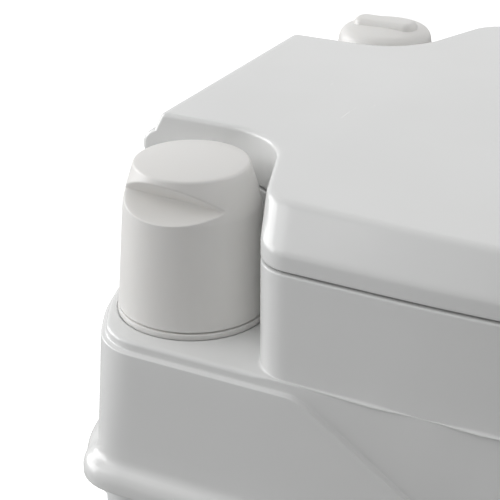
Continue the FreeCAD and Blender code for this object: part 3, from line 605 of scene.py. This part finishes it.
def cap_wing(bm, centre, wing_low, wing_top):
    """Closed grip with rounded ends, flared where it rises out of the dome."""
    half_long, half_wide, end_r = 21 * MM, 8.5 * MM, 7 * MM
    corners = [(-half_long, half_wide, end_r), (half_long, half_wide, end_r),
               (half_long, -half_wide, end_r), (-half_long, -half_wide, end_r)]
    points = outline(corners)
    loops = []
    for k in range(5):
        loops.append(((-2.6 + 2.6 * k / 4) * MM, wing_low + 4.5 * (k / 4) ** 0.7 * MM))
    loops += bezier((0, wing_low + 5.2 * MM), (0.4 * MM, wing_top), (4 * MM, wing_top), 7)
    wing = []
    for inset, z in loops:
        moved = [Vector((p.y, p.x)) + centre for p in shifted(points, normals(points), -inset)]
        wing.append(ring_of(bm, moved, z))
    for a, b in zip(wing, wing[1:]):
        bridge(bm, a, b)
    bm.faces.new(wing[-1])
    bm.faces.new(wing[0])


def make_cap():
    """Wide domed cap with a fine grip edge and a raised wing across it."""
    low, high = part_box("filler_cap")
    centre = Vector((pump_x, pump_y))
    bm = bmesh.new()
    cap_dome(bm, centre, low.z)
    cap_wing(bm, centre, low.z + 24 * MM, high.z)
    cap = finish_mesh(bm, "cap_skin", 45)
    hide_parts("filler_cap")
    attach(cap, "filler_cap")
    return cap


# ---- shader node groups ----

def group_with(name, inputs, outputs):
    tree = bpy.data.node_groups.new(name, "ShaderNodeTree")
    for label, value in inputs:
        socket = tree.interface.new_socket(label, in_out="INPUT", socket_type="NodeSocketFloat")
        socket.default_value = value
    for label in outputs:
        tree.interface.new_socket(label, in_out="OUTPUT", socket_type="NodeSocketFloat")
    return tree, tree.nodes.new("NodeGroupInput"), tree.nodes.new("NodeGroupOutput")


def math_node(tree, kind, a, b=None):
    node = tree.nodes.new("ShaderNodeMath")
    node.operation = kind
    for socket, value in zip(node.inputs, (a, b)):
        if isinstance(value, (int, float)):
            socket.default_value = value
        elif value is not None:
            tree.links.new(value, socket)
    return node.outputs[0]


def noise(tree, scale, detail, vector, rough=0.5):
    node = tree.nodes.new("ShaderNodeTexNoise")
    node.inputs["Detail"].default_value = detail
    node.inputs["Roughness"].default_value = rough
    tree.links.new(vector, node.inputs["Vector"])
    if isinstance(scale, (int, float)):
        node.inputs["Scale"].default_value = scale
    else:
        tree.links.new(scale, node.inputs["Scale"])
    return node.outputs["Fac"]


def span(tree, value, low, high):
    node = tree.nodes.new("ShaderNodeMapRange")
    node.interpolation_type = "SMOOTHSTEP"
    node.inputs["From Min"].default_value = low
    node.inputs["From Max"].default_value = high
    tree.links.new(value, node.inputs["Value"])
    return node.outputs["Result"]


def build_mould_grain():
    """Fine texture of a moulded skin with a slow ripple from cooling."""
    inputs = [("Grain Scale", 1500), ("Grain", 1), ("Ripple", 1)]
    tree, given, out = group_with("mould_grain", inputs, ["Height"])
    place = tree.nodes.new("ShaderNodeTexCoord").outputs["Object"]
    fine = noise(tree, given.outputs["Grain Scale"], 3, place)
    slow = noise(tree, 26, 1.5, place)
    fine = math_node(tree, "MULTIPLY", fine, given.outputs["Grain"])
    slow = math_node(tree, "MULTIPLY", slow, given.outputs["Ripple"])
    slow = math_node(tree, "MULTIPLY", slow, 9.0)
    tree.links.new(math_node(tree, "ADD", fine, slow), out.inputs["Height"])
    return tree


def build_handling():
    """Smudges and fine hairline scuffs from cleaning and use."""
    inputs = [("Smudges", 1), ("Scuffs", 1)]
    tree, given, out = group_with("handling_marks", inputs, ["Mask", "Scratch"])
    place = tree.nodes.new("ShaderNodeTexCoord").outputs["Object"]
    smudge = span(tree, noise(tree, 17, 4, place, 0.55), 0.35, 0.8)
    stretch = tree.nodes.new("ShaderNodeMapping")
    stretch.inputs["Scale"].default_value = (40, 900, 260)
    stretch.inputs["Rotation"].default_value = (0.3, 0.2, 0.7)
    tree.links.new(place, stretch.inputs["Vector"])
    hair = span(tree, noise(tree, 1.0, 2, stretch.outputs["Vector"]), 0.69, 0.74)
    patch = span(tree, noise(tree, 13, 2, place), 0.5, 0.68)
    scratch = math_node(tree, "MULTIPLY", hair, patch)
    scratch = math_node(tree, "MULTIPLY", scratch, given.outputs["Scuffs"])
    mask = math_node(tree, "MULTIPLY", smudge, given.outputs["Smudges"])
    tree.links.new(mask, out.inputs["Mask"])
    tree.links.new(scratch, out.inputs["Scratch"])
    return tree


def build_dust():
    """Dust that settles on faces turned upward."""
    tree, given, out = group_with("settled_dust", [("Amount", 1)], ["Mask"])
    place = tree.nodes.new("ShaderNodeTexCoord").outputs["Object"]
    turn = tree.nodes.new("ShaderNodeNewGeometry").outputs["Normal"]
    parts = tree.nodes.new("ShaderNodeSeparateXYZ")
    tree.links.new(turn, parts.inputs[0])
    upward = span(tree, parts.outputs["Z"], 0.55, 1.0)
    cloud = span(tree, noise(tree, 28, 6, place, 0.62), 0.35, 0.85)
    speck = span(tree, noise(tree, 900, 2, place), 0.66, 0.72)
    cloud = math_node(tree, "MULTIPLY", cloud, 0.7)
    speck = math_node(tree, "MULTIPLY", speck, 0.5)
    mask = math_node(tree, "MULTIPLY", math_node(tree, "ADD", cloud, speck), upward)
    mask = math_node(tree, "MULTIPLY", mask, given.outputs["Amount"])
    tree.links.new(mask, out.inputs["Mask"])
    return tree


def build_edge():
    """Convex edges, rubbed a little smoother and lighter."""
    tree, given, out = group_with("edge_wear", [("Amount", 1)], ["Mask"])
    place = tree.nodes.new("ShaderNodeTexCoord").outputs["Object"]
    point = tree.nodes.new("ShaderNodeNewGeometry").outputs["Pointiness"]
    edge = span(tree, point, 0.515, 0.58)
    broken = span(tree, noise(tree, 60, 4, place), 0.3, 0.65)
    mask = math_node(tree, "MULTIPLY", edge, broken)
    mask = math_node(tree, "MULTIPLY", mask, given.outputs["Amount"])
    tree.links.new(mask, out.inputs["Mask"])
    return tree


mould_grain = build_mould_grain()
handling_marks = build_handling()
settled_dust = build_dust()
edge_wear = build_edge()


# ---- materials ----

def placed(tree, group, **values):
    """A use of the group; an underscore stands for the space in an input's name."""
    node = tree.nodes.new("ShaderNodeGroup")
    node.node_tree = group
    for label, value in values.items():
        node.inputs[label.replace("_", " ")].default_value = value
    return node


def blended(tree, factor, a, b):
    """Colour a turning to b; each is a colour or a socket."""
    node = tree.nodes.new("ShaderNodeMix")
    node.data_type = "RGBA"
    tree.links.new(factor, node.inputs["Factor"])
    for socket, value in ((node.inputs[6], a), (node.inputs[7], b)):
        if isinstance(value, tuple):
            socket.default_value = (*value, 1)
        else:
            tree.links.new(value, socket)
    return node.outputs[2]


def start_material(name):
    mat = bpy.data.materials.new(name)
    mat.use_nodes = True
    tree = mat.node_tree
    return mat, tree, tree.nodes["Principled BSDF"]


def moulded(name, colour, roughness, grain=1.0, grain_scale=1500, ripple=1.0, marks=1.0, dust=1.0,
            wear=1.0, coat=0.0, bump=0.02, glow=0.0):
    """A moulded plastic: base tone that drifts, smudges, hairlines, dust and rubbed edges."""
    mat, tree, shader = start_material(name)
    place = tree.nodes.new("ShaderNodeTexCoord").outputs["Object"]
    skin = placed(tree, mould_grain, Grain_Scale=grain_scale, Grain=grain, Ripple=ripple)
    use = placed(tree, handling_marks, Smudges=marks, Scuffs=marks)
    dusty = placed(tree, settled_dust, Amount=dust)
    edges = placed(tree, edge_wear, Amount=wear)
    darker = tuple(c * 0.965 for c in colour)
    warm = (colour[0], colour[1] * 0.985, colour[2] * 0.95)
    rubbed = tuple(min(1, c * 1.07 + 0.01) for c in colour)
    dust_tone = (0.56, 0.54, 0.5)
    tone = blended(tree, span(tree, noise(tree, 7, 2, place), 0.3, 0.7), colour, darker)
    tone = blended(tree, math_node(tree, "MULTIPLY", use.outputs["Mask"], 0.2), tone, warm)
    tone = blended(tree, math_node(tree, "MULTIPLY", dusty.outputs["Mask"], 0.05), tone, dust_tone)
    tone = blended(tree, math_node(tree, "MULTIPLY", edges.outputs["Mask"], 0.25), tone, rubbed)
    tree.links.new(tone, shader.inputs["Base Color"])
    rough = math_node(tree, "ADD", math_node(tree, "MULTIPLY", use.outputs["Mask"], 0.035), roughness)
    rough = math_node(tree, "ADD", rough, math_node(tree, "MULTIPLY", use.outputs["Scratch"], 0.06))
    rough = math_node(tree, "ADD", rough, math_node(tree, "MULTIPLY", dusty.outputs["Mask"], 0.04))
    rough = math_node(tree, "SUBTRACT", rough, math_node(tree, "MULTIPLY", edges.outputs["Mask"], 0.06))
    tree.links.new(rough, shader.inputs["Roughness"])
    height = math_node(tree, "SUBTRACT", skin.outputs["Height"],
                       math_node(tree, "MULTIPLY", use.outputs["Scratch"], 0.8))
    relief = tree.nodes.new("ShaderNodeBump")
    relief.inputs["Strength"].default_value = 0.6
    relief.inputs["Distance"].default_value = bump * MM
    tree.links.new(height, relief.inputs["Height"])
    tree.links.new(relief.outputs["Normal"], shader.inputs["Normal"])
    shader.inputs["IOR"].default_value = 1.5
    shader.inputs["Coat Weight"].default_value = coat
    shader.inputs["Coat Roughness"].default_value = 0.12
    shader.inputs["Subsurface Weight"].default_value = glow
    shader.inputs["Subsurface Radius"].default_value = (0.004, 0.0035, 0.003)
    return mat


def metal(name, colour):
    """Stainless steel wire and screws with fine turning lines."""
    mat, tree, shader = start_material(name)
    place = tree.nodes.new("ShaderNodeTexCoord").outputs["Object"]
    lines = tree.nodes.new("ShaderNodeMapping")
    lines.inputs["Scale"].default_value = (6000, 300, 300)
    tree.links.new(place, lines.inputs["Vector"])
    drawn = noise(tree, 1.0, 2, lines.outputs["Vector"])
    use = placed(tree, handling_marks, Smudges=1, Scuffs=1)
    tone = blended(tree, drawn, colour, tuple(c * 0.8 for c in colour))
    tree.links.new(tone, shader.inputs["Base Color"])
    rough = math_node(tree, "ADD", math_node(tree, "MULTIPLY", drawn, 0.12), 0.2)
    rough = math_node(tree, "ADD", rough, math_node(tree, "MULTIPLY", use.outputs["Mask"], 0.1))
    tree.links.new(rough, shader.inputs["Roughness"])
    relief = tree.nodes.new("ShaderNodeBump")
    relief.inputs["Strength"].default_value = 0.4
    relief.inputs["Distance"].default_value = 0.01 * MM
    tree.links.new(drawn, relief.inputs["Height"])
    tree.links.new(relief.outputs["Normal"], shader.inputs["Normal"])
    shader.inputs["Metallic"].default_value = 1
    return mat


def clear_window(name):
    """Tinted clear plastic with light surface wear."""
    mat, tree, shader = start_material(name)
    use = placed(tree, handling_marks, Smudges=1, Scuffs=1)
    skin = placed(tree, mould_grain, Grain_Scale=300, Grain=0.3, Ripple=1.0)
    tone = blended(tree, use.outputs["Mask"], (0.62, 0.72, 0.76), (0.7, 0.78, 0.8))
    tree.links.new(tone, shader.inputs["Base Color"])
    rough = math_node(tree, "ADD", math_node(tree, "MULTIPLY", use.outputs["Mask"], 0.1), 0.05)
    tree.links.new(rough, shader.inputs["Roughness"])
    relief = tree.nodes.new("ShaderNodeBump")
    relief.inputs["Strength"].default_value = 0.3
    relief.inputs["Distance"].default_value = 0.02 * MM
    tree.links.new(skin.outputs["Height"], relief.inputs["Height"])
    tree.links.new(relief.outputs["Normal"], shader.inputs["Normal"])
    shader.inputs["Transmission Weight"].default_value = 0.75
    shader.inputs["IOR"].default_value = 1.49
    return mat


finishes = {
    "white_gloss": moulded("white_gloss_shell", (0.82, 0.825, 0.82), 0.24, coat=0.25, grain=0.6,
                           dust=0.5, marks=0.5),
    "light_grey": moulded("light_grey_tank", (0.76, 0.77, 0.77), 0.33, grain=1.4, grain_scale=1100,
                          dust=0.6),
    "pump_white": moulded("warm_white_satin", (0.87, 0.86, 0.84), 0.34, grain=1.3, grain_scale=1900,
                          ripple=0.4, dust=0.4, marks=0.6, glow=0.05),
    "bowl_white": moulded("bowl_white", (0.83, 0.84, 0.84), 0.16, coat=0.3, grain=0.3, dust=0.1),
    "valve_grey": moulded("valve_grey", (0.2, 0.215, 0.23), 0.42, grain=1.8, grain_scale=1300),
    "natural": moulded("natural_plastic", (0.62, 0.6, 0.55), 0.38, grain=1.0, glow=0.15),
    "rubber": moulded("black_rubber", (0.025, 0.025, 0.027), 0.62, grain=2.5, grain_scale=2200,
                      dust=1.6, bump=0.04),
    "seal_rubber": moulded("seal_rubber", (0.06, 0.06, 0.066), 0.5, grain=2.0, grain_scale=2000,
                           bump=0.03),
    "steel": metal("stainless_steel", (0.6, 0.6, 0.6)),
    "clear": clear_window("clear_window"),
    "handle_grey": moulded("dark_grey_handle", (0.13, 0.14, 0.155), 0.36, grain=2.2, grain_scale=1200,
                           wear=1.6, bump=0.035),
    "float_orange": moulded("orange_float", (0.62, 0.13, 0.02), 0.4, grain=1.0),
}


def paint(obj, name):
    obj.data.materials.clear()
    obj.data.materials.append(finishes[name])


def paint_cad():
    for part in frame["record"]["subparts"]:
        obj = frame["nodes"][part["node"]]
        paint(obj, part["material_slot"])
        obj.data.shade_smooth()
        obj.data.set_sharp_from_angle(angle=math.radians(CAD_CREASE_ANGLE))


# ---- floor, lights and camera ----

def make_floor():
    bm = bmesh.new()
    bmesh.ops.create_grid(bm, x_segments=8, y_segments=8, size=9)
    floor = finish_mesh(bm, "floor")
    mat, tree, shader = start_material("pale_floor")
    shader.inputs["Base Color"].default_value = (0.46, 0.46, 0.46, 1)
    shader.inputs["Roughness"].default_value = 0.9
    shader.inputs["Emission Color"].default_value = (1, 1, 1, 1)
    # only the camera sees most of this glow, so that the floor looks white and lights little
    path = tree.nodes.new("ShaderNodeLightPath").outputs["Is Camera Ray"]
    glow = math_node(tree, "ADD", math_node(tree, "MULTIPLY", path, 0.85), 0.03)
    tree.links.new(glow, shader.inputs["Emission Strength"])
    floor.data.materials.append(mat)


def soft_light(name, place, aim, size, power):
    lamp = bpy.data.lights.new(name, "AREA")
    lamp.shape = "RECTANGLE"
    lamp.size, lamp.size_y = size
    lamp.energy = power
    obj = bpy.data.objects.new(name, lamp)
    obj.location = place
    obj.rotation_euler = (Vector(aim) - Vector(place)).to_track_quat("-Z", "Y").to_euler()
    bpy.context.scene.collection.objects.link(obj)


def make_lights():
    aim = (-0.08, 0.1, 0.33)
    soft_light("behind", (-0.35, 2.4, 0.8), aim, (2.0, 1.3), 33)
    soft_light("rear_left", (-1.5, 1.9, 1.9), aim, (1.3, 1.3), 9)
    soft_light("top", (-0.3, 0.2, 2.6), aim, (2.6, 2.6), 2)
    soft_light("front", (0.9, -2.1, 0.9), aim, (1.0, 1.4), 13)
    world = bpy.data.worlds.new("studio")
    bpy.context.scene.world = world
    world.use_nodes = True
    tree = world.node_tree
    path = tree.nodes.new("ShaderNodeLightPath").outputs["Is Diffuse Ray"]
    parts = tree.nodes.new("ShaderNodeSeparateXYZ")
    tree.links.new(tree.nodes.new("ShaderNodeTexCoord").outputs["Generated"], parts.inputs[0])
    # matt surfaces are lit from above by the dome; everything else sees plain white
    rise = span(tree, parts.outputs["Z"], 0.15, 1.0)
    dome = blended(tree, rise, (0.05, 0.05, 0.05), (0.72, 0.72, 0.72))
    tone = blended(tree, path, (1.0, 1.0, 1.0), dome)
    tree.links.new(tone, tree.nodes["Background"].inputs["Color"])


def make_camera():
    cam = bpy.data.cameras.new("camera")
    cam.lens = 108
    cam.sensor_width = 36
    obj = bpy.data.objects.new("camera", cam)
    back = Vector((-0.8043, -0.4172, 0.4231))
    obj.location = Vector((-0.747, pump_y - 0.355, lid_z + 0.2782))
    obj.rotation_euler = (-back).to_track_quat("-Z", "Y").to_euler()
    bpy.context.scene.collection.objects.link(obj)
    bpy.context.scene.camera = obj


paint_cad()
paint(make_lid(), "white_gloss")
paint(make_body(), "white_gloss")
paint(make_lugs(), "white_gloss")
paint(make_knob(), "pump_white")
paint(make_cap(), "pump_white")
make_floor()
make_lights()
make_camera()
bpy.context.scene.view_settings.view_transform = "Standard"
